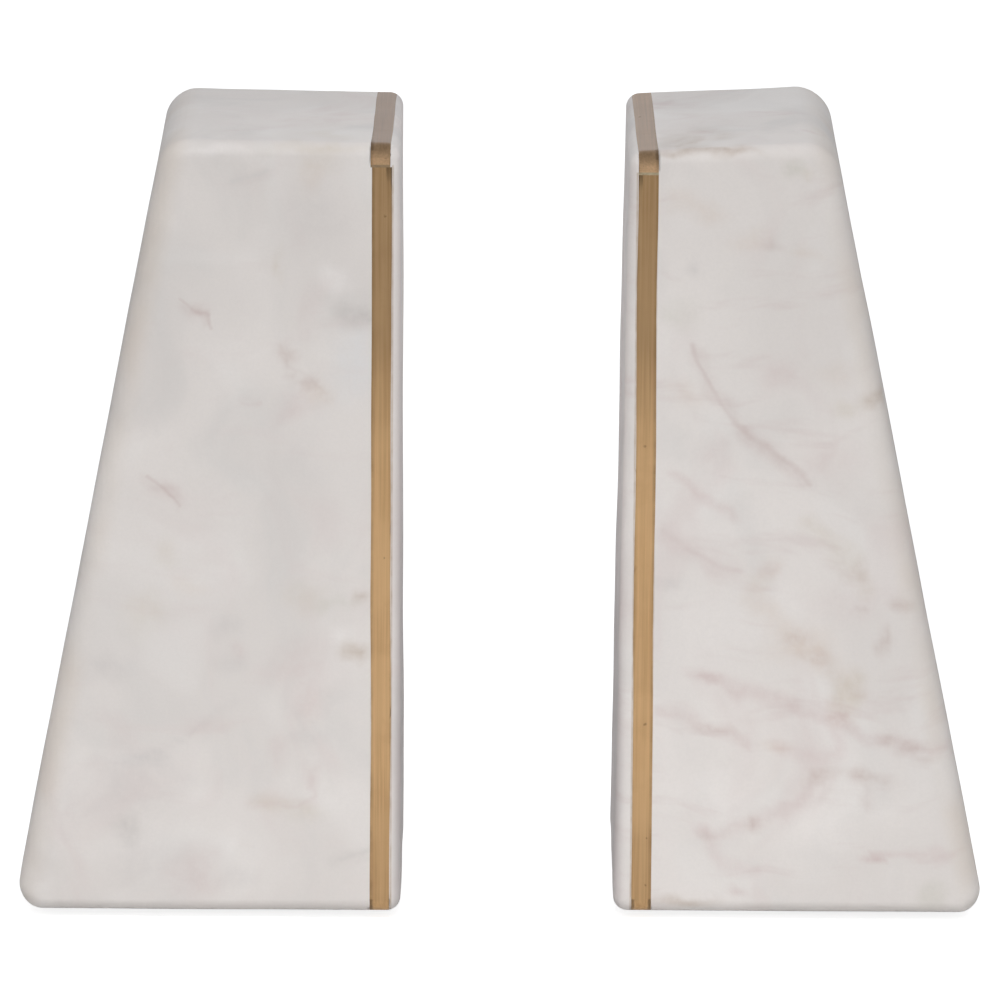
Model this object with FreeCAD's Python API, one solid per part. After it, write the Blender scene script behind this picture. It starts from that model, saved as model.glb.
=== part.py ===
import FreeCAD, Part
import os

V = FreeCAD.Vector

# Pair of marble book ends with an inlaid brass line, standing on soft feet.
# Frame: origin at the middle of the pair's footprint, on the shelf surface.
# +X to the right, +Y towards the back, +Z up. Millimetres.

# ---------------------------------------------------------------- dimensions
# Feet (soft discs stuck under each block)
PAD_DIAMETER = 10.0
PAD_HEIGHT = 1.4
PAD_EDGE_ROUND = 0.4
PAD_INSET = 12.0          # disc centre to the front, back and inner edges
PAD_INSET_OUTER = 15.0    # disc centre to the outer edge, which is rounder

# Blocks, sawn and ground by hand, so each has its own sizes.
BLOCK_HEIGHT = 151.0      # base to the highest (outer) edge of the top
LEFT = {
    "prefix": "left",
    "side": -1,
    "base": 74.0,         # inner face's top edge to the outer face, at the base
    "top": 45.0,          # the same, at the top
    "depth": 55.0,        # front to back
    "top_fall": 0.7,      # how much lower the top is at the inner face
    "inner_draft": 0.65,  # how far the inner face comes forward at the base
    "lip_front": 1.5,     # marble between the brass and the inner face: front,
    "lip_back": 1.5,      # back,
    "lip_top_front": 1.8,  # top at its front end,
    "lip_top_back": 1.2,   # and top at its back end
    "round_top": 6.2,     # easing of the sloping outer face's top
    "round_base": 4.6,    # and of its foot
    "front_y": 0.0,
}
RIGHT = {
    "prefix": "right",
    "side": 1,
    "base": 70.0,
    "top": 38.7,
    "depth": 60.5,
    "top_fall": 2.2,
    "inner_draft": 1.75,
    "lip_front": 1.75,
    "lip_back": 1.4,
    "lip_top_front": 1.75,
    "lip_top_back": 1.1,
    "round_top": 7.2,
    "round_base": 4.2,
    "front_y": 1.2,
}
GAP_AT_TOP = 42.8         # between the two inner faces, at the top edges

# Eased edges
# (the top and the foot of the sloping outer face are each block's own)
ROUND_OUTER_SIDE = 4.4    # its front and back edges
ROUND_OTHER = 2.7         # all the other edges

# Brass bars and the resin they are bedded in
BAR_WIDTH = 3.75
BAR_THICKNESS = 3.75
BED_THICKNESS = 0.5
GROOVE_DEPTH = BAR_THICKNESS + BED_THICKNESS

OVERRUN = 5.0             # cutting boxes run past the block by this much


# ------------------------------------------------------------------- helpers
def box(u0, u1, y0, y1, z0, z1):
    return Part.makeBox(u1 - u0, y1 - y0, z1 - z0, V(u0, y0, z0))


def strip_box(u_front, u_back, width, depth, over, z0, z1):
    """Bar-shaped cutter over the top, whose two ends may differ in u."""
    slope = (u_back - u_front) / depth
    y0, y1 = -over, depth + over
    a, b = u_front + slope * y0, u_front + slope * y1
    pts = [V(a, y0, z0), V(a + width, y0, z0), V(b + width, y1, z0), V(b, y1, z0)]
    return Part.Face(Part.makePolygon(pts + [pts[0]])).extrude(V(0, 0, z1 - z0))


def one_solid(shape):
    shape = shape.removeSplitter()
    solids = shape.Solids
    if len(solids) != 1:
        raise ValueError("expected one solid, got %d" % len(solids))
    return solids[0]


def envelope(d):
    """Right-angled wedge block with every edge eased.

    Built with u growing away from the inner face, y to the back, z up.
    """
    h = BLOCK_HEIGHT
    pts = [
        V(-d["inner_draft"], 0, 0),
        V(d["base"], 0, 0),
        V(d["top"], 0, h),
        V(0, 0, h - d["top_fall"]),
    ]
    face = Part.Face(Part.makePolygon(pts + [pts[0]]))
    prism = face.extrude(V(0, d["depth"], 0))

    def on_outer_face(p):
        u_outer = d["base"] + (d["top"] - d["base"]) * p.z / h
        return abs(p.x - u_outer) < 1e-4

    doc = FreeCAD.newDocument(d["prefix"])
    base = doc.addObject("Part::Feature", "Prism")
    base.Shape = prism
    rounded = doc.addObject("Part::Fillet", "Eased")
    rounded.Base = base
    edges = []
    for i, e in enumerate(prism.Edges):
        r = ROUND_OTHER
        if all(on_outer_face(v.Point) for v in e.Vertexes):
            z0, z1 = (v.Point.z for v in e.Vertexes)
            r = ROUND_OUTER_SIDE
            if abs(z0 - z1) < 1e-4:
                r = d["round_top"] if z0 > h / 2.0 else d["round_base"]
        edges.append((i + 1, r, r))
    rounded.Edges = edges
    doc.recompute()
    shape = rounded.Shape.copy()
    FreeCAD.closeDocument(doc.Name)
    if shape.isNull() or len(shape.Solids) != 1:
        raise ValueError("edge easing failed")
    return shape.Solids[0]


def pad(u, y):
    disc = Part.makeCylinder(PAD_DIAMETER / 2.0, PAD_HEIGHT, V(u, y, 0))
    low = [e for e in disc.Edges
           if e.Curve.TypeId == "Part::GeomCircle" and abs(e.BoundBox.ZMax) < 1e-6]
    return disc.makeFillet(PAD_EDGE_ROUND, low)


def bookend(d):
    """All the pieces of one book end, in its own u, y, z."""
    env = envelope(d)
    depth = d["depth"]
    # height of the top face over the middle of the brass
    u_mid = d["lip_top_front"] + BAR_WIDTH / 2.0
    z_top = BLOCK_HEIGHT - d["top_fall"] * (1.0 - u_mid / d["top"])
    z_bar = z_top - BAR_THICKNESS
    z_bed = z_top - GROOVE_DEPTH

    uf0, uf1 = d["lip_front"], d["lip_front"] + BAR_WIDTH
    ub0, ub1 = d["lip_back"], d["lip_back"] + BAR_WIDTH
    o = OVERRUN
    t, g = BAR_THICKNESS, GROOVE_DEPTH

    def top(z0, z1):
        return strip_box(d["lip_top_front"], d["lip_top_back"], BAR_WIDTH,
                         depth, o, z0, z1)

    cutters = {
        "front_bar": box(uf0, uf1, -o, t, -o, z_bed),
        "front_bed": box(uf0, uf1, t, g, -o, z_bed),
        "back_bar": box(ub0, ub1, depth - t, depth + o, -o, z_bed),
        "back_bed": box(ub0, ub1, depth - g, depth - t, -o, z_bed),
        "top_bar": top(z_bar, z_top + o),
        "top_bed": top(z_bed, z_bar),
    }
    grooves = [
        box(uf0, uf1, -o, g, -o, z_bed),
        box(ub0, ub1, depth - g, depth + o, -o, z_bed),
        top(z_bed, z_top + o),
    ]
    pieces = {"block": one_solid(env.cut(grooves))}
    for name, cutter in cutters.items():
        pieces[name] = one_solid(env.common(cutter))

    lift = V(0, 0, PAD_HEIGHT)
    for s in pieces.values():
        s.translate(lift)

    u_in, u_out = PAD_INSET, d["base"] - PAD_INSET_OUTER
    y_in, y_out = PAD_INSET, depth - PAD_INSET
    pieces["pad_front_inner"] = pad(u_in, y_in)
    pieces["pad_front_outer"] = pad(u_out, y_in)
    pieces["pad_back_inner"] = pad(u_in, y_out)
    pieces["pad_back_outer"] = pad(u_out, y_out)
    return pieces


def place(shape, d, shift):
    """Turn u into +X or -X, set the book end in its place."""
    s = shape
    if d["side"] < 0:
        s = s.mirror(V(0, 0, 0), V(1, 0, 0))
    s = s.copy()
    s.translate(V(d["side"] * GAP_AT_TOP / 2.0, d["front_y"], 0) + shift)
    if s.ShapeType != "Solid":
        s = s.Solids[0]
    if s.Volume < 0:
        s.reverse()
    return s


# --------------------------------------------------------------------- build
built = [(d, bookend(d)) for d in (LEFT, RIGHT)]

# centre the pair's footprint on the origin
bounds = FreeCAD.BoundBox()
for d, pieces in built:
    for s in pieces.values():
        bounds.add(place(s, d, V(0, 0, 0)).optimalBoundingBox(False))
shift = V(-(bounds.XMin + bounds.XMax) / 2.0, -(bounds.YMin + bounds.YMax) / 2.0, 0)

os.makedirs("parts", exist_ok=True)
print("shift %.4f %.4f" % (shift.x, shift.y))
total = FreeCAD.BoundBox()
for d, pieces in built:
    for name, s in pieces.items():
        s = place(s, d, shift)
        node = "%s_%s" % (d["prefix"], name)
        if not s.isValid():
            raise ValueError(node + " is not valid")
        s.exportStep("parts/%s.step" % node)
        b = s.optimalBoundingBox(False)
        total.add(b)
        print("%-22s vol %10.2f  x %8.3f %8.3f  y %8.3f %8.3f  z %8.3f %8.3f" % (
            node, s.Volume, b.XMin, b.XMax, b.YMin, b.YMax, b.ZMin, b.ZMax))
print("total x %.3f %.3f y %.3f %.3f z %.3f %.3f" % (
    total.XMin, total.XMax, total.YMin, total.YMax, total.ZMin, total.ZMax))
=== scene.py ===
import math

import bmesh
import bpy
import numpy as np
from mathutils import Matrix, Vector, noise


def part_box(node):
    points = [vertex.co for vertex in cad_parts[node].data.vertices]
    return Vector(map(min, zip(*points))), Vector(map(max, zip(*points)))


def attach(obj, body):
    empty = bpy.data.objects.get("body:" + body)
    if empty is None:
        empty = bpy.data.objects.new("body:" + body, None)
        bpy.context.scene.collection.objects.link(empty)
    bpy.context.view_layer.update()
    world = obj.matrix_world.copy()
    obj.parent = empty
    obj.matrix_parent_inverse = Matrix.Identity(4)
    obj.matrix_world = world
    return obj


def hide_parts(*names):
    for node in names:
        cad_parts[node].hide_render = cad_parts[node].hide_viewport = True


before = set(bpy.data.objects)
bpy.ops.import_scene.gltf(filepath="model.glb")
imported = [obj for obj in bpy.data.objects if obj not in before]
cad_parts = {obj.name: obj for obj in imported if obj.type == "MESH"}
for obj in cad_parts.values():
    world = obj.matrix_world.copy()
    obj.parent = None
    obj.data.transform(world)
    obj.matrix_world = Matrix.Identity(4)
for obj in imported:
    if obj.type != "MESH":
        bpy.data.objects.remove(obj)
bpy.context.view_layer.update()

MM = 0.001


# --------------------------------------------------------------- small tools
def lin(r, g, b, gain=1.0):
    """Linear colour of a 0-255 display colour."""
    out = []
    for c in (r, g, b):
        c = c / 255.0
        out.append(gain * (c / 12.92 if c <= 0.04045 else ((c + 0.055) / 1.055) ** 2.4))
    return (out[0], out[1], out[2], 1.0)


class Nodes:
    """Writes shader nodes as expressions."""

    nt = None

    def node(self, kind, **props):
        n = self.nt.nodes.new(kind)
        for k, v in props.items():
            setattr(n, k, v)
        return n

    def put(self, socket, value):
        if isinstance(value, bpy.types.NodeSocket):
            self.nt.links.new(value, socket)
        elif value is not None:
            socket.default_value = value

    def math(self, op, a, b=None, c=None, clamp=False):
        n = self.node("ShaderNodeMath", operation=op, use_clamp=clamp)
        for i, v in enumerate((a, b, c)):
            if v is not None:
                self.put(n.inputs[i], v)
        return n.outputs[0]

    def vmath(self, op, a, b=None, scale=None):
        n = self.node("ShaderNodeVectorMath", operation=op)
        self.put(n.inputs[0], a)
        if b is not None:
            self.put(n.inputs[1], b)
        if scale is not None:
            self.put(n.inputs["Scale"], scale)
        return n.outputs["Value"] if op in ("LENGTH", "DOT_PRODUCT", "DISTANCE") else n.outputs["Vector"]

    def split(self, v):
        n = self.node("ShaderNodeSeparateXYZ")
        self.put(n.inputs[0], v)
        return n.outputs[0], n.outputs[1], n.outputs[2]

    def join(self, x, y, z):
        n = self.node("ShaderNodeCombineXYZ")
        for i, v in enumerate((x, y, z)):
            self.put(n.inputs[i], v)
        return n.outputs[0]

    def mapping(self, v, loc=(0, 0, 0), rot=(0, 0, 0), scale=(1, 1, 1)):
        n = self.node("ShaderNodeMapping")
        self.put(n.inputs["Vector"], v)
        n.inputs["Location"].default_value = loc
        n.inputs["Rotation"].default_value = [math.radians(a) for a in rot]
        n.inputs["Scale"].default_value = scale
        return n.outputs[0]

    def noise(self, v, size, detail=3.0, rough=0.5, dist=0.0, colour=False):
        """Noise whose features are about size millimetres across."""
        n = self.node("ShaderNodeTexNoise")
        self.put(n.inputs["Vector"], v)
        n.inputs["Scale"].default_value = 1.0 / size
        n.inputs["Detail"].default_value = detail
        n.inputs["Roughness"].default_value = rough
        n.inputs["Distortion"].default_value = dist
        return n.outputs[1] if colour else n.outputs[0]

    def voronoi(self, v, size, feature="F1", out="Distance"):
        n = self.node("ShaderNodeTexVoronoi", feature=feature)
        self.put(n.inputs["Vector"], v)
        n.inputs["Scale"].default_value = 1.0 / size
        return n.outputs[out]

    def step(self, v, a, b, c=0.0, d=1.0):
        """Smooth step from c at a to d at b (a below b)."""
        n = self.node("ShaderNodeMapRange", interpolation_type="SMOOTHSTEP")
        self.put(n.inputs[0], v)
        for i, x in enumerate((a, b, c, d)):
            self.put(n.inputs[i + 1], x)
        return n.outputs[0]

    def line(self, v, a, b, c=0.0, d=1.0):
        n = self.node("ShaderNodeMapRange", interpolation_type="LINEAR", clamp=True)
        self.put(n.inputs[0], v)
        for i, x in enumerate((a, b, c, d)):
            self.put(n.inputs[i + 1], x)
        return n.outputs[0]

    def mix(self, fac, a, b, blend="MIX"):
        n = self.node("ShaderNodeMix", data_type="RGBA", blend_type=blend)
        self.put(n.inputs[0], fac)
        self.put(n.inputs[6], a)
        self.put(n.inputs[7], b)
        return n.outputs[2]

    def bump(self, height, distance, strength=1.0, normal=None):
        """distance is in metres."""
        n = self.node("ShaderNodeBump")
        self.put(n.inputs["Height"], height)
        n.inputs["Strength"].default_value = strength
        n.inputs["Distance"].default_value = distance
        if normal is not None:
            self.put(n.inputs["Normal"], normal)
        return n.outputs[0]

    def use(self, group, *values):
        """One copy of a node group, fed in the order of its inputs."""
        n = self.node("ShaderNodeGroup")
        n.node_tree = group.nt
        for i, v in enumerate(values):
            self.put(n.inputs[i], v)
        return n.outputs[0]

    def principled(self, **values):
        n = self.node("ShaderNodeBsdfPrincipled")
        for k, v in values.items():
            self.put(n.inputs[k.replace("_", " ")], v)
        self.nt.links.new(n.outputs[0], self.out.inputs["Surface"])
        return n


class Tree(Nodes):
    """A material."""

    def __init__(self, name):
        self.mat = bpy.data.materials.new(name)
        self.mat.use_nodes = True
        self.nt = self.mat.node_tree
        self.nt.nodes.clear()
        self.out = self.node("ShaderNodeOutputMaterial")
        coord = self.node("ShaderNodeTexCoord")
        # the row frame in millimetres
        self.p = self.vmath("SCALE", coord.outputs["Object"], scale=1.0 / MM)


class Group(Nodes):
    """A node group with one output, last. Sockets are (name, kind) pairs."""

    def __init__(self, name, inputs, output):
        self.nt = bpy.data.node_groups.new(name, "ShaderNodeTree")
        for n, kind in inputs:
            self.nt.interface.new_socket(name=n, in_out="INPUT", socket_type="NodeSocket" + kind)
        self.nt.interface.new_socket(name=output[0], in_out="OUTPUT", socket_type="NodeSocket" + output[1])
        self.entry = self.node("NodeGroupInput")
        self.exit = self.node("NodeGroupOutput")

    def arg(self, i):
        return self.entry.outputs[i]

    def result(self, socket):
        self.nt.links.new(socket, self.exit.inputs[0])
        return self


# ------------------------------------------------------------------- marble
FINE_VEIN = 0.86   # veins wider than this, in mm, are held on the mesh
STONE = 1.20     # display colour of the lit front to its albedo
PALE = {
    "vein": (186, 166, 162),
    "rust": (178, 156, 148),
    "pink": (208, 196, 193),
    "rose": (201, 186, 183),
    "peach": (210, 200, 191),
    "beige": (204, 197, 186),
    "brown": (182, 169, 156),
    "grey": (203, 199, 196),
    "dark": (190, 186, 182),
    "green": (198, 196, 186),
    "white": (228, 225, 222),
    "blue": (211, 213, 214),
}

# Cloudy spots: x and z in mm from the block's outer or inner lower corner on
# its front face, half-widths in x and z, tint, strength.
LEFT_SPOTS = [
    # the first spot, a white band along the front-top edge, is a painted highlight on the rounded edge
    (37.6, 148.4, 9.0, 1.3, "white", 0.75), (58.3, 149.4, 8.5, 1.0, "beige", 0.7),
    (58.3, 146.7, 3.4, 2.6, "beige", 0.55), (56.3, 143.5, 2.5, 3.0, "peach", 0.55),
    (57.0, 137.1, 7.5, 6.0, "grey", 0.55), (50.2, 128.1, 0.9, 3.0, "beige", 0.6),
    (61.3, 124.3, 3.0, 2.7, "white", 0.95), (64.0, 117.9, 5.0, 3.6, "dark", 0.65),
    (66.8, 117.6, 2.2, 2.0, "dark", 0.5), (51.4, 110.1, 1.5, 1.4, "rust", 0.42),
    (52.5, 107.1, 1.0, 0.9, "rust", 0.40), (56.0, 105.3, 1.5, 1.4, "rust", 0.50),
    (57.4, 103.0, 2.8, 2.2, "peach", 0.6), (53.3, 100.7, 3.6, 2.8, "pink", 0.5),
    (51.7, 97.8, 2.0, 1.6, "pink", 0.5), (64.6, 108.2, 4.0, 7.5, "blue", 0.6),
    (28.9, 70.7, 2.1, 3.4, "beige", 0.45), (32.7, 64.5, 3.4, 1.8, "peach", 0.45),
    (23.7, 58.9, 4.2, 4.6, "beige", 0.55), (16.5, 48.2, 5.2, 3.2, "grey", 0.8),
    (40.6, 56.7, 2.8, 2.4, "grey", 0.7), (41.1, 49.8, 2.9, 2.4, "grey", 0.7),
    (41.9, 52.4, 1.5, 1.2, "pink", 0.6), (65.9, 63.6, 1.7, 1.4, "brown", 0.8),
    (54.6, 63.0, 4.0, 3.5, "beige", 0.5), (61.6, 55.0, 2.7, 2.4, "white", 0.6),
    (64.6, 51.5, 2.7, 1.9, "brown", 0.95), (54.0, 49.2, 6.0, 5.2, "pink", 0.5),
    (55.2, 40.6, 3.3, 3.4, "rose", 0.5), (59.7, 42.7, 2.3, 1.5, "grey", 0.6),
    (55.4, 34.8, 3.2, 2.5, "grey", 0.65), (50.8, 31.8, 1.8, 3.2, "pink", 0.5),
    (36.2, 36.8, 4.2, 1.8, "pink", 0.5), (26.3, 30.8, 3.8, 1.9, "grey", 0.75),
    (24.0, 24.7, 10.0, 8.5, "grey", 0.55), (56.4, 26.5, 1.2, 1.2, "rose", 0.5),
    (48.2, 21.2, 3.3, 1.9, "beige", 0.6), (54.0, 20.1, 4.6, 2.2, "beige", 0.6),
    (34.2, 23.4, 3.3, 2.4, "white", 0.35), (21.5, 16.4, 2.2, 3.3, "dark", 0.8),
    (40.7, 14.2, 2.3, 3.4, "white", 0.35), (41.9, 6.9, 3.3, 2.2, "grey", 0.75),
    (34.2, 7.5, 4.8, 5.0, "rose", 0.55), (25.3, 10.1, 7.5, 5.2, "grey", 0.65),
    (7.0, 20.0, 5.0, 12.0, "grey", 0.35), (54.6, 88.7, 5.0, 5.0, "grey", 0.4),
]
LEFT_VEINS = [
    ([(31.3, 120.2), (34.4, 118.3), (36.6, 117.2), (37.5, 114.8)], 0.42, "vein", 0.50),
    ([(34.0, 118.6), (36.4, 117.3)], 0.75, "vein", 0.45),
    ([(25.2, 85.6), (28.7, 83.4), (30.4, 82.2), (31.5, 80.1)], 0.45, "vein", 0.42),
    ([(28.6, 83.6), (30.2, 82.4)], 0.75, "vein", 0.40),
    ([(41.3, 143.1), (44.5, 143.9), (47.9, 145.5)], 0.55, "grey", 0.75),
    ([(50.4, 111.3), (51.5, 109.1), (52.5, 107.0), (55.9, 105.4), (59.0, 102.4)], 0.5, "rust", 0.22),
    ([(43.5, 100.3), (46.7, 100.3)], 0.45, "rose", 0.5),
    ([(57.1, 61.0), (60.9, 61.7), (65.7, 62.5)], 1.1, "green", 0.55),
    ([(62.3, 11.0), (64.8, 11.7), (66.8, 12.2)], 0.7, "dark", 0.6),
    ([(45.4, 20.8), (49.5, 22.2), (54.0, 21.2), (57.5, 23.2), (55.9, 28.2)], 0.6, "rose", 0.45),
    ([(19.0, 29.9), (25.3, 31.0), (29.8, 33.3), (32.4, 35.9), (36.8, 38.6), (41.9, 42.6)], 0.9, "grey", 0.45),
]
RIGHT_SPOTS = [
    (30.7, 106.5, 4.6, 3.6, "pink", 0.55), (11.5, 139.2, 3.4, 2.2, "peach", 0.55),
    (17.1, 137.3, 3.5, 1.9, "peach", 0.65), (24.7, 131.9, 3.8, 1.8, "peach", 0.6),
    (29.4, 131.0, 1.5, 1.2, "rust", 0.35), (35.4, 129.7, 3.2, 1.4, "peach", 0.55),
    (32.7, 146.2, 1.7, 1.7, "green", 0.85), (35.5, 144.6, 1.6, 1.4, "beige", 0.7),
    (11.1, 118.0, 3.6, 2.8, "green", 0.45), (14.7, 127.0, 1.2, 2.0, "grey", 0.8),
    (49.1, 101.8, 3.0, 1.9, "brown", 0.95), (43.4, 99.8, 3.4, 1.4, "beige", 0.7),
    (18.9, 90.2, 3.3, 3.3, "pink", 0.5), (40.4, 89.7, 6.5, 3.8, "pink", 0.45),
    (12.5, 103.2, 4.6, 2.0, "peach", 0.45), (40.8, 105.9, 4.0, 2.5, "peach", 0.4),
    (10.4, 65.1, 2.8, 1.5, "grey", 0.75), (29.7, 68.5, 2.2, 1.5, "rose", 0.55),
    (34.6, 54.8, 2.3, 1.9, "rust", 0.35), (37.8, 50.5, 2.8, 1.5, "rust", 0.30),
    (36.5, 52.8, 6.2, 4.4, "peach", 0.6), (44.6, 44.3, 2.2, 4.0, "beige", 0.85),
    (18.2, 46.5, 2.3, 1.0, "rose", 0.85), (52.1, 34.8, 2.3, 1.5, "rust", 0.45),
    (58.4, 33.6, 3.0, 1.2, "rust", 0.45), (60.4, 30.6, 2.3, 1.0, "rust", 0.35),
    (51.4, 53.6, 1.1, 3.0, "rust", 0.45), (47.8, 60.1, 1.6, 0.9, "rust", 0.30),
    (54.8, 61.8, 2.3, 1.6, "rust", 0.60), (44.6, 62.1, 7.5, 5.5, "pink", 0.35),
    (45.5, 68.3, 2.2, 1.7, "rust", 0.35), (18.9, 36.6, 3.6, 1.0, "rust", 0.35),
    (39.4, 27.5, 3.1, 1.3, "rust", 0.50), (46.8, 27.2, 2.7, 1.9, "rust", 0.60),
    (51.2, 27.2, 2.3, 1.3, "rust", 0.35), (48.1, 22.3, 1.2, 2.7, "rust", 0.28),
    (26.8, 17.5, 1.4, 1.1, "rust", 0.48), (17.6, 15.8, 1.6, 1.3, "rust", 0.38),
    (50.8, 11.9, 2.3, 0.9, "rose", 0.80), (31.7, 33.7, 2.7, 1.6, "peach", 0.75),
    (18.7, 56.6, 9.0, 7.0, "white", 0.35), (19.7, 23.1, 7.5, 6.0, "white", 0.35),
    (32.6, 62.0, 3.3, 3.4, "white", 0.30), (19.7, 76.3, 9.0, 4.3, "white", 0.30),
    (20.6, 30.3, 0.6, 0.5, "dark", 0.8), (61.5, 4.4, 3.0, 2.5, "green", 0.75),
    (13.6, 2.3, 5.5, 0.8, "brown", 0.8), (24.8, 3.7, 2.1, 1.1, "rose", 0.75),
    (38.3, 17.9, 7.5, 6.0, "white", 0.30), (14.5, 149.0, 9.5, 0.8, "brown", 0.85),
    (20.4, 148.2, 2.4, 1.0, "brown", 0.9),
]
RIGHT_VEINS = [
    ([(14.6, 111.6), (15.6, 107.7), (17.8, 104.2), (20.1, 100.3), (23.0, 96.4), (24.6, 94.8), (28.4, 92.6), (31.3, 90.0), (34.8, 87.4), (36.7, 85.2)], 0.62, "vein", 0.52),
    ([(24.0, 95.4), (28.4, 92.6), (31.4, 90.0)], 0.85, "vein", 0.50),
    ([(10.1, 86.9), (15.2, 82.4), (18.7, 81.1), (22.2, 79.2)], 1.1, "rose", 0.65),
    ([(9.0, 75.5), (11.5, 73.9), (14.7, 71.3), (19.2, 68.8), (23.6, 67.8)], 0.75, "rose", 0.70),
    ([(30.0, 69.2), (27.5, 65.5), (25.6, 61.9), (28.8, 60.6), (34.6, 54.8), (38.5, 50.5), (43.0, 47.0), (44.6, 44.3), (44.0, 39.1)], 2.2, "peach", 0.70),
    ([(14.4, 47.4), (18.2, 46.5), (22.7, 44.5), (32.9, 41.6), (39.2, 40.4), (43.1, 39.1), (47.6, 35.8), (52.1, 34.5), (58.4, 33.6), (62.9, 33.3)], 1.25, "rose", 0.72),
    ([(8.7, 40.5), (13.2, 38.9), (17.7, 36.9), (21.5, 35.6), (25.3, 34.0)], 1.25, "rose", 0.72),
    ([(37.5, 76.4), (41.3, 73.1), (45.2, 68.6), (47.8, 65.4)], 1.9, "beige", 0.62),
    ([(36.9, 25.8), (35.7, 23.8), (31.9, 19.8), (26.8, 17.5), (19.8, 15.8), (16.0, 17.8)], 1.2, "rose", 0.62),
    ([(16.0, 17.8), (18.6, 14.5), (22.1, 9.5), (27.6, 8.5)], 1.3, "pink", 0.75),
    ([(49.2, 11.7), (53.7, 12.0), (61.4, 12.1), (66.2, 11.5)], 0.9, "pink", 0.85),
    ([(31.7, 34.1), (35.6, 31.8), (38.8, 30.1), (43.2, 32.5), (43.4, 38.4)], 1.5, "pink", 0.75),
]


def make_segment():
    g = Group("vein_run", [("Near", "Float"), ("At", "Vector"), ("From", "Vector"), ("Run", "Vector"),
                           ("Per", "Float")], ("Near", "Float"))
    pa = g.vmath("SUBTRACT", g.arg(1), g.arg(2))
    h = g.math("MULTIPLY", g.vmath("DOT_PRODUCT", pa, g.arg(3)), g.arg(4))
    h = g.math("MINIMUM", g.math("MAXIMUM", h, 0.0), 1.0)
    d = g.vmath("DISTANCE", pa, g.vmath("SCALE", g.arg(3), scale=h))
    return g.result(g.math("MINIMUM", d, g.arg(0)))


segment = make_segment()


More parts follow.
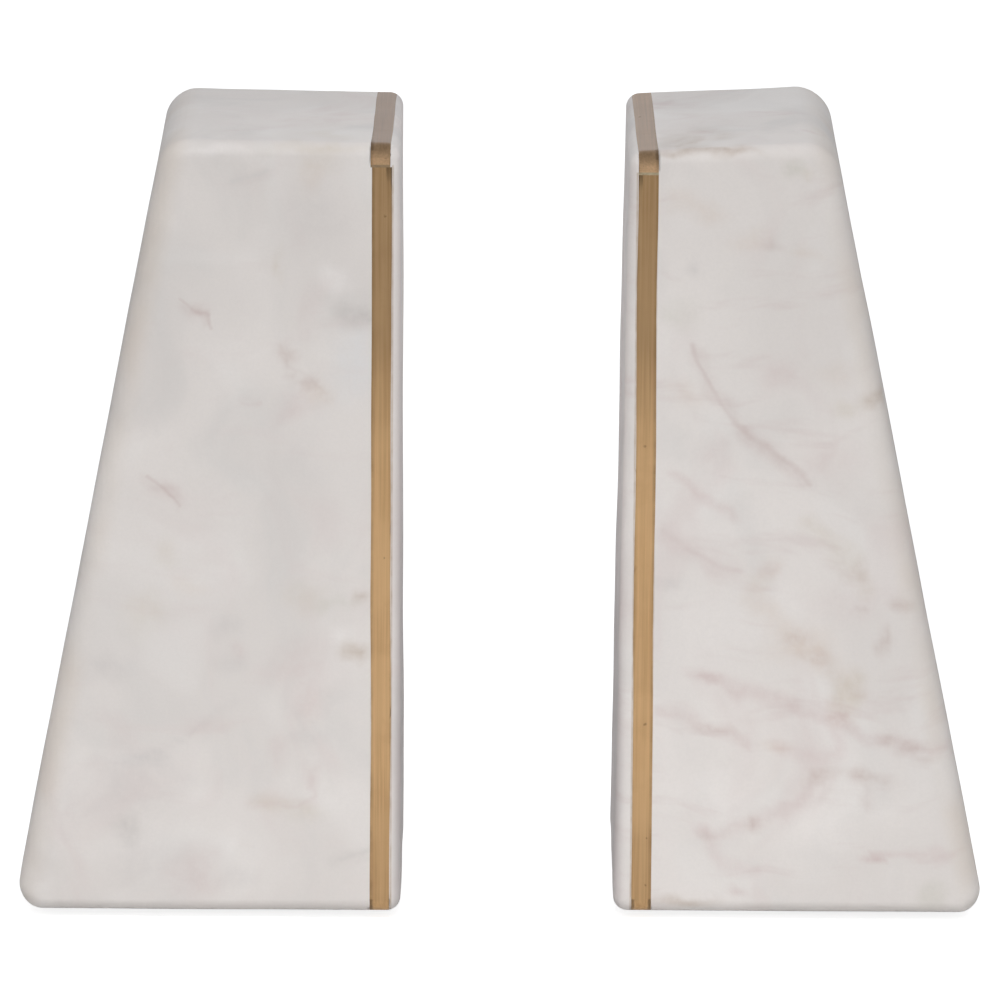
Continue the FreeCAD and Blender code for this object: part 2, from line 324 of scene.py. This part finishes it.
def marble(side):
    """White marble with soft grey and rose clouds and a few fine veins."""
    left = side == "left"
    t = Tree("marble_" + side)
    low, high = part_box(side + "_block")
    origin = Vector((low.x / MM, low.y / MM, low.z / MM))
    q = t.vmath("SUBTRACT", t.p, tuple(origin))          # from the lower front corner

    def centred(v, size, amount, detail=2.0):
        c = t.noise(v, size, detail, 0.5, colour=True)
        c = t.vmath("SUBTRACT", c, (0.5, 0.5, 0.5))
        return t.vmath("SCALE", c, scale=amount)

    seed = (13.0, 71.0, 5.0) if left else (151.0, 33.0, 97.0)
    s = t.vmath("ADD", q, seed)
    big = centred(s, 34.0, 46.0, 1.0)
    soft = t.vmath("ADD", s, big)
    # clouds lie along a slant through the stone
    slant = t.mapping(soft, rot=(12, 38 if left else 42, 20), scale=(1.0, 0.8, 0.42))
    long = t.mapping(t.vmath("ADD", s, t.vmath("SCALE", big, scale=0.35)),
                     rot=(16, 40 if left else 36, 10), scale=(0.34, 0.6, 1.6))

    grey_cloud = t.step(t.noise(slant, 17.0, 3.0, 0.55), 0.47, 0.72)
    rose_cloud = t.step(t.noise(t.vmath("ADD", slant, (57.0, 11.0, 83.0)), 15.0, 3.0, 0.55), 0.50, 0.74)
    light_cloud = t.step(t.noise(t.vmath("ADD", soft, (7.0, 93.0, 31.0)), 20.0, 2.0, 0.5), 0.50, 0.76)
    streaks = t.step(t.noise(long, 8.0, 3.0, 0.6), 0.53, 0.78)
    ridge = t.math("ABSOLUTE", t.math("SUBTRACT", t.noise(long, 13.0, 4.0, 0.55), 0.5))
    threads = t.math("MULTIPLY", t.step(ridge, 0.0, 0.034, 1.0, 0.0),
                     t.step(t.noise(t.vmath("ADD", s, (40.0, 40.0, 40.0)), 22.0, 2.0), 0.52, 0.64))

    def c(name):
        return lin(*PALE[name], gain=STONE)

    base = lin(216, 210, 206, STONE) if left else lin(218, 212, 208, STONE)
    slow = t.line(t.noise(soft, 38.0, 1.0, 0.5), 0.34, 0.66, 0.955, 1.035)
    col = t.vmath("SCALE", base[:3], scale=slow)
    # the faces away from the front carry the pattern a little more strongly
    away = t.step(t.split(q)[1], 3.0, 12.0)
    more = t.math("MULTIPLY_ADD", away, 0.35, 0.65)

    def cloud(col, mask, amount, name):
        return t.mix(t.math("MULTIPLY", t.math("MULTIPLY", mask, amount), more), col, c(name))

    col = cloud(col, grey_cloud, 0.75 if left else 0.55, "grey")
    col = cloud(col, rose_cloud, 0.55 if left else 0.70, "pink")
    col = cloud(col, light_cloud, 0.45, "white")
    col = cloud(col, streaks, 0.35 if left else 0.65, "pink" if left else "rose")
    col = cloud(col, t.math("MULTIPLY", threads, away), 0.22, "rose")

    # the spots, one of them a painted highlight, and broad veins held on the mesh, as a ratio to the plain stone
    n = t.node("ShaderNodeAttribute", attribute_name="stain_and_highlight")
    patchy = t.line(t.noise(s, 2.2, 3.0, 0.6), 0.30, 0.62, 0.55, 1.0)
    col = t.mix(patchy, col, t.mix(1.0, col, n.outputs["Color"], "MULTIPLY"))
    # veins are thin sheets that run on into the stone
    wx, wy, wz = t.split(t.vmath("ADD", q, centred(s, 6.5, 2.6, 3.0)))
    sheet = t.join(t.math("MULTIPLY_ADD", wy, 0.25, wx), 0.0, t.math("MULTIPLY_ADD", wy, -0.2, wz))
    fade = t.step(t.split(q)[1], 10.0, 34.0, 1.0, 0.0)
    broken = t.math("MULTIPLY", t.line(t.noise(s, 5.0, 3.0, 0.6), 0.32, 0.62, 0.35, 1.15), fade)
    for points, width, name, strength in (LEFT_VEINS if left else RIGHT_VEINS):
        if width > FINE_VEIN:
            continue
        near = 99.0
        for (x0, z0), (x1, z1) in zip(points, points[1:]):
            run = Vector((x1 - x0, 0.0, z1 - z0))
            near = t.use(segment, near, sheet, (x0, 0.0, z0), tuple(run), 1.0 / run.length_squared)
        k = t.step(near, 0.0, width * 1.35, strength * 0.55, 0.0)
        col = t.mix(t.math("MULTIPLY", k, broken), col, c(name))

    # painted shade and painted light: the inner face, which faces the other book end, is painted darker towards its
    # foot and lighter towards its top
    from_inner = t.math("SUBTRACT", high.x / MM, t.split(t.p)[0]) if left else t.math("SUBTRACT", t.split(t.p)[0], low.x / MM)
    inner = t.step(from_inner, 0.4, 2.6, 1.0, 0.0)
    gap_light_and_shade = t.step(t.split(q)[2], 15.0, 125.0, 0.82, 1.18 if left else 1.24)
    painted_light_gain = t.math("ADD", t.math("MULTIPLY", inner, t.math("SUBTRACT", gap_light_and_shade, 1.0)), 1.0)
    col = t.vmath("SCALE", col, scale=painted_light_gain)
    # painted shade: the foot of the inner face also gets a mauve cast
    gap_shade_tint = t.math("MULTIPLY", inner, t.step(t.split(q)[2], 15.0, 120.0, 0.5, 0.2))
    col = t.mix(gap_shade_tint, col, t.vmath("MULTIPLY", col, (1.0, 0.955, 0.985)))

    # painted light: a band up to 2.6 mm high round the base is painted paler, lifting the shade where the stone meets
    # the floor
    col = t.vmath("SCALE", col, scale=t.step(t.split(q)[2], 0.4, 2.6, 1.12, 1.0))

    # painted shade: a warm brown darkening, patchy by noise, along the rounded edges of the sloping outer face, where
    # the surface turns from the light
    across, _, tall = t.split(q)
    fall = 0.194 if left else 0.206
    if left:
        from_outer = t.math("SUBTRACT", across, t.math("MULTIPLY", tall, fall))
    else:
        from_outer = t.math("SUBTRACT", t.math("SUBTRACT", (high.x - low.x) / MM, across), t.math("MULTIPLY", tall, fall))
    # warm here is the painted shade mask of the outer rounded edges
    warm = t.math("MULTIPLY", t.step(from_outer, 0.6, 5.2, 0.34, 0.0), t.line(t.noise(s, 16.0, 2.0), 0.36, 0.62, 0.25, 1.0))
    col = t.mix(warm, col, lin(199, 184, 168, STONE))

    # fine crystal grain
    grain = t.noise(t.p, 0.55, 2.0, 0.6)
    col = t.mix(t.math("MULTIPLY", t.line(grain, 0.35, 0.65), 0.07), col, c("dark"))

    # brown trace of adhesive along the brass
    px, py, pz = t.split(t.p)
    def beside(node):
        lo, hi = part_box(node)
        mid, half = (lo.x + hi.x) / 2 / MM, (hi.x - lo.x) / 2 / MM
        off = t.math("SUBTRACT", t.math("ABSOLUTE", t.math("SUBTRACT", px, mid)), half)
        return t.step(t.math("ABSOLUTE", off), 0.0, 0.34, 1.0, 0.0)
    lo_top, hi_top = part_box(side + "_top_bar")
    under = t.step(pz, lo_top.z / MM - 0.5, lo_top.z / MM - 0.1, 1.0, 0.0)
    trace = t.math("MULTIPLY", t.math("MULTIPLY", beside(side + "_front_bar"), under),
                   t.line(t.noise(t.p, 3.0, 3.0), 0.3, 0.7, 0.35, 0.8))
    col = t.mix(trace, col, lin(171, 150, 128, STONE))

    rough = t.math("ADD", t.line(t.noise(s, 11.0, 2.0, 0.6), 0.3, 0.7, 0.36, 0.47),
                   t.math("MULTIPLY", grain, 0.06))
    pits = t.step(t.voronoi(t.p, 3.1), 0.02, 0.10, 0.0, 1.0)
    skin = t.math("ADD", t.math("MULTIPLY", grain, 0.5), t.math("MULTIPLY", pits, 0.35))
    normal = t.bump(skin, 0.000028, 1.0)
    t.principled(Base_Color=col, Roughness=rough, Normal=normal, IOR=1.49,
                 Subsurface_Weight=0.0, Subsurface_Radius=(1.0, 0.88, 0.78),
                 Subsurface_Scale=0.002, Specular_IOR_Level=0.42)
    return t.mat


# -------------------------------------------------------------------- brass
def brass(name, along, box_node):
    """Brushed, lacquered brass. along is the bar's long axis, 1 for y, 2 for z."""
    t = Tree(name)
    p = t.p
    k = 0.012
    stretch = (1.0, k, 1.0) if along == 1 else (1.0, 1.0, k)
    lines = t.vmath("MULTIPLY", p, stretch)
    hair = t.noise(lines, 0.085, 3.0, 0.7)
    broad = t.noise(t.vmath("ADD", lines, (31.0, 7.0, 3.0)), 0.42, 3.0, 0.55)
    mottle = t.noise(p, 5.5, 4.0, 0.6)
    cloud = t.noise(t.vmath("ADD", p, (9.0, 50.0, 20.0)), 17.0, 3.0, 0.5)
    pin = t.step(t.voronoi(t.vmath("ADD", p, t.vmath("SCALE", t.noise(p, 1.5, 2.0, colour=True), scale=1.2)), 5.2), 0.03, 0.085, 1.0, 0.0)

    # painted light: the top bars, which face up, get a paler and pinker copy of the brass colour than the uprights,
    # which face the front
    if along == 2:
        base, dark, warm = lin(219, 179, 130), lin(200, 159, 111), lin(225, 184, 134)
    else:
        base, dark, warm = lin(228, 192, 162), lin(210, 174, 144), lin(233, 197, 166)
    tarnish = lin(128, 95, 60)
    if along == 1 and name.startswith("right"):      # that bar is the paler of the two
        base, dark, warm = lin(241, 204, 170), lin(223, 186, 152), lin(245, 208, 174)
    col = t.mix(t.line(broad, 0.36, 0.66), dark, base)
    col = t.mix(t.math("MULTIPLY", t.step(cloud, 0.42, 0.66), 0.45), col, warm)
    col = t.mix(t.math("MULTIPLY", t.step(mottle, 0.50, 0.72), 0.26), col, dark)
    col = t.mix(t.math("MULTIPLY", t.line(hair, 0.45, 0.75), 0.18), col, warm)
    col = t.mix(t.math("MULTIPLY", pin, 0.42), col, tarnish)
    if along == 1:      # painted shade: the rounded ends are painted a darker, warmer brass, standing in for the darker surroundings their curve mirrors
        py = t.split(p)[1]
        lo_y, hi_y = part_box(box_node)[0].y / MM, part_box(box_node)[1].y / MM
        end_shade = t.math("MAXIMUM", t.step(py, lo_y + 1.2, lo_y + 3.6, 1.0, 0.0), t.step(py, hi_y - 3.6, hi_y - 1.2, 0.0, 1.0))
        col = t.mix(t.math("MULTIPLY", end_shade, 0.75), col, t.mix(t.line(broad, 0.36, 0.66), lin(196, 156, 110), lin(212, 172, 125)))
    if along == 2:      # painted reflection: the upright is painted darker towards its top and a little brighter in its middle, following the floor it mirrors
        pz = t.split(p)[2]
        top_reflection_shade = t.step(t.math("ADD", pz, t.math("MULTIPLY", cloud, 14.0)), 99.0, 124.0, 0.0, 0.26)
        middle_reflection_light = t.math("MULTIPLY", t.step(pz, 14.0, 34.0), t.step(pz, 84.0, 104.0, 1.0, 0.0))
        painted_light_gain = t.math("ADD", t.math("SUBTRACT", 1.0, top_reflection_shade), t.math("MULTIPLY", middle_reflection_light, 0.10))
        col = t.vmath("SCALE", col, scale=painted_light_gain)

    # long edges: darker tarnish just inside them
    lo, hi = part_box(box_node)
    px, py, pz = t.split(p)
    if along == 1:      # the top bars' skew is multiplied by zero, so they run straight
        skew = t.math("MULTIPLY", t.math("SUBTRACT", py, lo.y / MM), 0.0)
        px = t.math("ADD", px, skew)
    mid, half = (lo.x + hi.x) / 2 / MM, (hi.x - lo.x) / 2 / MM
    inside = t.math("SUBTRACT", half, t.math("ABSOLUTE", t.math("SUBTRACT", px, mid)))
    edge_dark = t.step(inside, 0.0, 0.55, 1.0, 0.0)
    col = t.mix(t.math("MULTIPLY", edge_dark, t.line(mottle, 0.3, 0.7, 0.15, 0.5)), col, tarnish)

    rough = t.math("ADD", t.line(broad, 0.3, 0.7, 0.33, 0.43), t.math("MULTIPLY", mottle, 0.08))
    rough = t.math("ADD", rough, t.math("MULTIPLY", pin, 0.2))
    height = t.math("ADD", t.math("MULTIPLY", hair, 0.6), t.math("MULTIPLY", broad, 0.8))
    height = t.math("SUBTRACT", height, t.math("MULTIPLY", pin, 0.8))
    normal = t.bump(height, 0.000012, 1.0)
    normal = t.bump(t.noise(p, 6.0, 2.0), 0.00006, 1.0, normal)
    n = t.principled(Base_Color=col, Metallic=1.0, Roughness=rough, Normal=normal, Anisotropic=0.55,
                     Coat_Weight=0.45 if along == 2 else 0.8, Coat_Roughness=0.22, Coat_IOR=1.5)
    t.put(n.inputs["Tangent"], t.join(0.0, 1.0, 0.0) if along == 1 else t.join(0.0, 0.0, 1.0))
    return t.mat


def resin(side):
    """Adhesive bed between brass and marble, darker on the left book end."""
    t = Tree("bedding_resin_" + side)
    one, two = (lin(134, 110, 80), lin(158, 133, 101)) if side == "left" else (lin(158, 140, 108), lin(186, 171, 142))
    n = t.noise(t.p, 1.1, 4.0, 0.6)
    bubbles = t.step(t.voronoi(t.p, 0.7), 0.10, 0.28, 1.0, 0.0)
    col = t.mix(t.line(n, 0.3, 0.7), one, two)
    col = t.mix(t.math("MULTIPLY", bubbles, 0.35), col, lin(120, 101, 74))
    t.principled(Base_Color=col, Roughness=0.4)
    return t.mat


def rubber():
    """Cloudy soft foot."""
    t = Tree("foot_rubber")
    big = t.noise(t.p, 4.0, 3.0, 0.5)
    dust = t.step(t.noise(t.p, 1.3, 4.0, 0.7), 0.56, 0.74)
    col = t.mix(t.line(big, 0.35, 0.65), lin(176, 174, 170), lin(194, 192, 188))
    col = t.mix(t.math("MULTIPLY", dust, 0.4), col, lin(205, 202, 196))
    t.principled(Base_Color=col, Roughness=0.58, Specular_IOR_Level=0.35)
    return t.mat


# ----------------------------------------------- ground and polished meshes
def smooth01(v, a, b):
    x = min(1.0, max(0.0, (v - a) / (b - a)))
    return x * x * (3 - 2 * x)


def hand_ground(side):
    """How grinding by hand leaves a block a little uneven. Returns a function of a point in mm."""
    low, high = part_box(side + "_block")
    lo, hi = low / MM, high / MM
    mid = (lo + hi) / 2
    amp = 0.17
    shrink = Vector([1 - 2 * amp * 1.02 / (hi[i] - lo[i]) for i in range(3)])
    off = Vector((3.1, 17.7, 40.3)) if side == "left" else Vector((91.2, 7.9, 12.6))

    def wave(p, k, size):
        a = noise.noise(p / size + off + Vector((k * 31.7, k * 11.3, 0.0)))
        b = noise.noise(p / (size * 0.45) + off + Vector((0.0, k * 23.1, k * 5.9)))
        return max(-1.0, min(1.0, 1.35 * a + 0.45 * b))

    def warp(p):
        foot = smooth01(p.z, lo.z, lo.z + 14.0)
        q = Vector((mid.x + (p.x - mid.x) * shrink.x, mid.y + (p.y - mid.y) * shrink.y, p.z))
        q.z = lo.z + (p.z - lo.z) * (1 - 1.02 * amp / (hi.z - lo.z))
        q.x += amp * wave(p, 1, 31.0)
        q.y += amp * wave(p, 2, 27.0)
        q.z += amp * wave(p, 3, 24.0) * foot
        return q

    return warp


def slice_faces(bm, faces, axis, planes):
    """Cuts faces along every plane, halving the set each time so that each cut meets few faces."""
    if not planes or not faces:
        return
    mid = len(planes) // 2
    at = [0.0, 0.0, 0.0]
    at[axis] = planes[mid]
    normal = [1.0 if i == axis else 0.0 for i in range(3)]
    edges = list(dict.fromkeys(e for f in faces for e in f.edges))
    verts = list(dict.fromkeys(v for f in faces for v in f.verts))
    made = bmesh.ops.bisect_plane(bm, geom=verts + edges + faces, dist=1e-6, plane_co=at, plane_no=normal)
    low, high = [], []
    for f in dict.fromkeys(g for g in made["geom"] if isinstance(g, bmesh.types.BMFace)):
        (low if f.calc_center_median()[axis] < planes[mid] else high).append(f)
    slice_faces(bm, low, axis, planes[:mid])
    slice_faces(bm, high, axis, planes[mid + 1:])


def stain_and_highlight(side, points):
    """Colour of the cloudy spots, one of them a painted highlight, and broad veins at points (mm, from the block's
    lower front corner), as a ratio to the plain stone.
    """
    left = side == "left"
    shift = Vector((13.0, 71.0, 5.0)) if left else Vector((151.0, 33.0, 97.0))
    moved = np.empty_like(points)
    for i, p in enumerate(points):
        v = Vector(p)
        n = noise.noise_vector(v / 6.5 + shift) * 2.1 + noise.noise_vector(v / 2.4 + shift) * 0.75
        moved[i] = p + np.array(n)
    plain = np.array(lin(*((215, 211, 207) if left else (217, 213, 209)))[:3])
    ratio = np.ones((len(points), 3))

    def lay(k, name):
        tint = np.array(lin(*PALE[name])[:3]) / plain
        ratio[:] = ratio * (1 - k[:, None]) + ratio * tint * k[:, None]

    def soft(x, a, b):
        x = np.clip((x - a) / (b - a), 0.0, 1.0)
        return x * x * (3 - 2 * x)

    for x, z, rx, rz, name, strength in (LEFT_SPOTS if left else RIGHT_SPOTS):
        d = (moved - np.array((x, 0.0, z))) * np.array((1 / rx, 0.55 / max(rx, rz), 1 / rz))
        lay(0.85 * strength * (1 - soft(np.linalg.norm(d, axis=1), 0.0, 1.65)), name)
    sheet = moved.copy()
    sheet[:, 0] += 0.25 * moved[:, 1]
    sheet[:, 2] -= 0.20 * moved[:, 1]
    depth = 1 - soft(points[:, 1], 12.0, 40.0)
    for run, width, name, strength in (LEFT_VEINS if left else RIGHT_VEINS):
        fine = width <= FINE_VEIN   # only the blurred halo of a fine vein is held here
        near = np.full(len(points), 99.0)
        for (x0, z0), (x1, z1) in zip(run, run[1:]):
            a, ab = np.array((x0, z0)), np.array((x1 - x0, z1 - z0))
            pa = sheet[:, (0, 2)] - a
            h = np.clip(pa @ ab / (ab @ ab), 0, 1)
            near = np.minimum(near, np.linalg.norm(pa - h[:, None] * ab, axis=1))
        lay(strength * (0.40 if fine else 0.66) * depth * (1 - soft(near, 0.0, width * (3.6 if fine else 1.75))), name)
    return ratio


def ground_piece(node, name, steps, warp, material, body, side=None):
    """The CAD solid with its faces cut into small facets and its surface hand ground."""
    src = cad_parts[node]
    bm = bmesh.new()
    bm.from_mesh(src.data)
    bmesh.ops.remove_doubles(bm, verts=bm.verts[:], dist=2e-6)
    bmesh.ops.dissolve_limit(bm, angle_limit=math.radians(0.3), use_dissolve_boundaries=False,
                             verts=bm.verts[:], edges=bm.edges[:])
    lo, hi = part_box(node)
    for axis in range(3):
        count = max(1, int(round((hi[axis] - lo[axis]) / (steps[axis] * MM))))
        planes = [lo[axis] + (hi[axis] - lo[axis]) * i / count for i in range(1, count)]
        slice_faces(bm, bm.faces[:], axis, planes)
    bmesh.ops.remove_doubles(bm, verts=bm.verts[:], dist=1e-6)
    bmesh.ops.recalc_face_normals(bm, faces=bm.faces[:])
    me = bpy.data.meshes.new(name)
    bm.to_mesh(me)
    bm.free()
    verts = np.empty(len(me.vertices) * 3)
    me.vertices.foreach_get("co", verts)
    verts = verts.reshape(-1, 3) / MM
    moved = np.array([warp(Vector(v)) for v in verts])
    me.vertices.foreach_set("co", (moved * MM).ravel())
    me.polygons.foreach_set("use_smooth", np.ones(len(me.polygons), bool))
    me.set_sharp_from_angle(angle=math.radians(34))
    if side:
        values = np.ones((len(verts), 4), np.float32)
        values[:, :3] = stain_and_highlight(side, verts - np.array(lo) / MM)
        layer = me.attributes.new("stain_and_highlight", "FLOAT_COLOR", "POINT")
        layer.data.foreach_set("color", values.ravel())
    me.materials.append(material)
    ob = bpy.data.objects.new(name, me)
    bpy.context.scene.collection.objects.link(ob)
    wn = ob.modifiers.new("weighted", "WEIGHTED_NORMAL")
    wn.keep_sharp = True
    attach(ob, body)
    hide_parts(node)
    return ob


stone = {"left": marble("left"), "right": marble("right")}
foot_material = rubber()
for side in ("left", "right"):
    body = side + "_bookend"
    warp = hand_ground(side)
    bed_material = resin(side)
    ground_piece(side + "_block", side + "_marble_block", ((1.1, 2.5, 1.1)), warp, stone[side], body, side)
    upright = brass(side + "_brass_upright", 2, side + "_front_bar")
    upright_back = brass(side + "_brass_upright_back", 2, side + "_back_bar")
    across = brass(side + "_brass_across", 1, side + "_top_bar")
    ground_piece(side + "_front_bar", side + "_front_brass", (1.3, 1.3, 3.0), warp, upright, body)
    ground_piece(side + "_back_bar", side + "_back_brass", (1.3, 1.3, 3.0), warp, upright_back, body)
    ground_piece(side + "_top_bar", side + "_top_brass", (1.3, 3.0, 1.3), warp, across, body)
    ground_piece(side + "_front_bed", side + "_front_bedding", (1.3, 1.3, 3.0), warp, bed_material, body)
    ground_piece(side + "_back_bed", side + "_back_bedding", (1.3, 1.3, 3.0), warp, bed_material, body)
    ground_piece(side + "_top_bed", side + "_top_bedding", (1.3, 3.0, 1.3), warp, bed_material, body)
    for place in ("front_inner", "front_outer", "back_inner", "back_outer"):
        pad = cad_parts["%s_pad_%s" % (side, place)]
        if not pad.material_slots:
            pad.data.materials.append(foot_material)
        for ms in pad.material_slots:
            ms.link = "OBJECT"
            ms.material = foot_material

# -------------------------------------------------------------------- stage
floor_mesh = bpy.data.meshes.new("floor")
floor_mesh.from_pydata([(-6, -6, 0), (6, -6, 0), (6, 6, 0), (-6, 6, 0)], [], [(0, 1, 2, 3)])
floor = bpy.data.objects.new("floor", floor_mesh)
bpy.context.scene.collection.objects.link(floor)
ft = Tree("floor_white")
fn = ft.principled(Base_Color=(0.51, 0.51, 0.51, 1.0), Roughness=0.9, Specular_IOR_Level=0.1)
# the floor glows, though it is no lamp: white to the camera, and a fainter glow that the brass mirrors as a painted
# reflection; diffuse light off the floor carries none of it
ft.put(fn.inputs["Emission Color"], (1.0, 1.0, 1.0, 1.0))
rays = ft.node("ShaderNodeLightPath")
ft.put(fn.inputs["Emission Strength"], ft.math("ADD", ft.math("MULTIPLY", rays.outputs["Is Camera Ray"], 0.80),
                                               ft.math("MULTIPLY", rays.outputs["Is Glossy Ray"], 0.265)))
floor_mesh.materials.append(ft.mat)


def softbox(name, at, aim, size, watts, colour):
    data = bpy.data.lights.new(name, "AREA")
    data.shape = "RECTANGLE"
    data.size, data.size_y = size
    data.energy = watts
    data.color = colour
    ob = bpy.data.objects.new(name, data)
    bpy.context.scene.collection.objects.link(ob)
    ob.location = at
    ob.rotation_euler = (Vector(aim) - Vector(at)).to_track_quat("-Z", "Y").to_euler()
    ob.visible_glossy = False
    return ob


softbox("front_softbox", (0.0, -1.9, 0.80), (0, 0, 0.07), (0.8, 0.8), 10.9, (1.0, 0.98, 0.955))
softbox("left_softbox", (-0.75, 0.05, 1.5), (0, 0, 0.08), (0.5, 0.5), 1.7, (0.985, 0.975, 1.0))
softbox("right_softbox", (0.75, 0.05, 1.5), (0, 0, 0.08), (0.5, 0.5), 1.7, (0.985, 0.975, 1.0))
softbox("back_softbox", (0.0, 2.0, 0.95), (0, 0, 0.07), (1.2, 0.8), 8.5, (1.0, 0.985, 0.965))
# lights the table top in front of the book ends, which the brass mirrors
pool = bpy.data.lights.new("table_light", "SPOT")
pool.energy = 62.0
pool.spot_size = math.radians(21)
pool.spot_blend = 1.0
pool.shadow_soft_size = 0.15
pool_ob = bpy.data.objects.new("table_light", pool)
bpy.context.scene.collection.objects.link(pool_ob)
pool_ob.location = (0.0, -0.75, 1.2)
pool_ob.rotation_euler = (Vector((0.0, -0.20, 0.0)) - pool_ob.location).to_track_quat("-Z", "Y").to_euler()
pool_ob.visible_glossy = False

world = bpy.data.worlds.new("studio")
world.use_nodes = True
wt = Nodes()
wt.nt = world.node_tree
sx, sy, sz = wt.split(wt.node("ShaderNodeTexCoord").outputs["Generated"])
sideways = wt.math("MULTIPLY", wt.math("MULTIPLY", sx, sx), -0.08)
background = world.node_tree.nodes["Background"]
background.inputs[0].default_value = (0.965, 1.0, 1.04, 1.0)
upward = wt.math("MULTIPLY", wt.math("MULTIPLY", sz, sz), -0.23)
wt.put(background.inputs[1], wt.math("ADD", wt.math("ADD", sideways, upward), 0.50))
bpy.context.scene.world = world
bpy.context.scene.view_settings.view_transform = "Standard"
bpy.context.scene.view_settings.look = "None"
bpy.context.scene.view_settings.exposure = 0.0
bpy.context.scene.view_settings.gamma = 1.0

# ------------------------------------------------------------------- camera
PITCH, ROLL, DISTANCE = math.radians(13.7315), math.radians(0.3637), 1.73767
TARGET = Vector((-0.00037, 0.0, 0.07568))
forward = Vector((0.0, math.cos(PITCH), -math.sin(PITCH)))
right = Vector((1.0, 0.0, 0.0))
up = Vector((0.0, math.sin(PITCH), math.cos(PITCH)))
cx = right * math.cos(ROLL) + up * math.sin(ROLL)
cy = up * math.cos(ROLL) - right * math.sin(ROLL)
cz = -forward
cam_data = bpy.data.cameras.new("camera")
cam_data.lens = 324.0
cam_data.sensor_width = 36.0
cam_data.clip_start = 0.05
cam_data.clip_end = 50.0
cam = bpy.data.objects.new("camera", cam_data)
bpy.context.scene.collection.objects.link(cam)
eye = TARGET - forward * DISTANCE
cam.matrix_world = Matrix((
    (cx.x, cy.x, cz.x, eye.x),
    (cx.y, cy.y, cz.y, eye.y),
    (cx.z, cy.z, cz.z, eye.z),
    (0.0, 0.0, 0.0, 1.0),
))
bpy.context.scene.camera = cam

bpy.context.view_layer.update()
